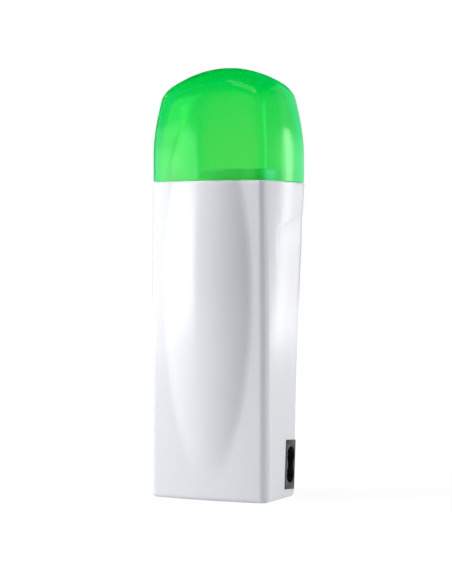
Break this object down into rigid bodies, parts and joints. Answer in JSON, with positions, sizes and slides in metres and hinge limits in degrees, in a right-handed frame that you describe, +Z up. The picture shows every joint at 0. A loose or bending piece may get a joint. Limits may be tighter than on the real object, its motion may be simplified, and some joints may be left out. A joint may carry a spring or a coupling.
{
  "type": "roll-on wax heater",
  "caption": "Upright wax heater with a white two-shell housing, a heated well for a roll-on cartridge, a translucent green pull-off cap and a figure-8 inlet on its right side.",
  "frame": {"origin": "centre of the base of the housing, in plan and in height at the base plane", "axes": "+Z up from the base to the cap; the front face with its tongue faces -Y; the inlet is on the +X side"},
  "size_m": [0.0603, 0.0515, 0.1993],
  "materials": {
    "shell_abs": "gloss",
    "cap_clear_green": "gloss, translucent",
    "collar_abs": "satin",
    "sleeve_aluminium": "drawn",
    "floor_pbt": "matte",
    "gasket_silicone": "matte",
    "spring_steel": "rolled",
    "spreader_aluminium": "extruded",
    "ptc_ceramic": "fired ceramic",
    "electrode_brass": "rolled",
    "polyimide_film": "gloss",
    "zinc_steel": "zinc plated",
    "mica_board": "pressed mica",
    "fibreglass_sleeve": "braided",
    "inlet_black": "satin",
    "nickel_pins": "nickel plated",
    "wire_brown": "silicone insulation",
    "wire_blue": "silicone insulation",
    "nylon_white": "moulded",
    "label_film": "satin film"
  },
  "bodies": {
    "housing": {"front_shell": "shell_abs", "rear_shell": "shell_abs", "neck_collar": "collar_abs", "cartridge_sleeve": "sleeve_aluminium", "well_floor": "floor_pbt", "sleeve_gasket": "gasket_silicone", "spring_rivet": "zinc_steel", "heat_spreader": "spreader_aluminium", "ptc_element": "ptc_ceramic", "electrode_live": "electrode_brass", "electrode_neutral": "electrode_brass", "insulating_film": "polyimide_film", "heater_clamp": "zinc_steel", "clamp_screws": "zinc_steel", "insulation_board": "mica_board", "thermal_fuse": "nickel_pins", "fuse_sleeve": "fibreglass_sleeve", "inlet_body": "inlet_black", "inlet_pins": "nickel_pins", "tab_sleeves": "fibreglass_sleeve", "wire_live": "wire_brown", "wire_fused": "wire_brown", "wire_neutral": "wire_blue", "cable_tie": "nylon_white", "housing_screws": "zinc_steel", "rating_label": "label_film"},
    "cap": {"cap": "cap_clear_green"},
    "retaining_spring": {"retaining_spring": "spring_steel"}
  },
  "joints": [
    {"name": "cap_pull", "type": "slide", "parent": "housing", "child": "cap", "axis": [0, 0, 1], "range_m": [0, 0.06]},
    {"name": "spring_flex", "type": "hinge", "parent": "housing", "child": "retaining_spring", "pos_m": [0, -0.01405, 0.1345], "axis": [-1, 0, 0], "range_deg": [0, 2], "stiffness_Nm_per_rad": 0.3}
  ]
}
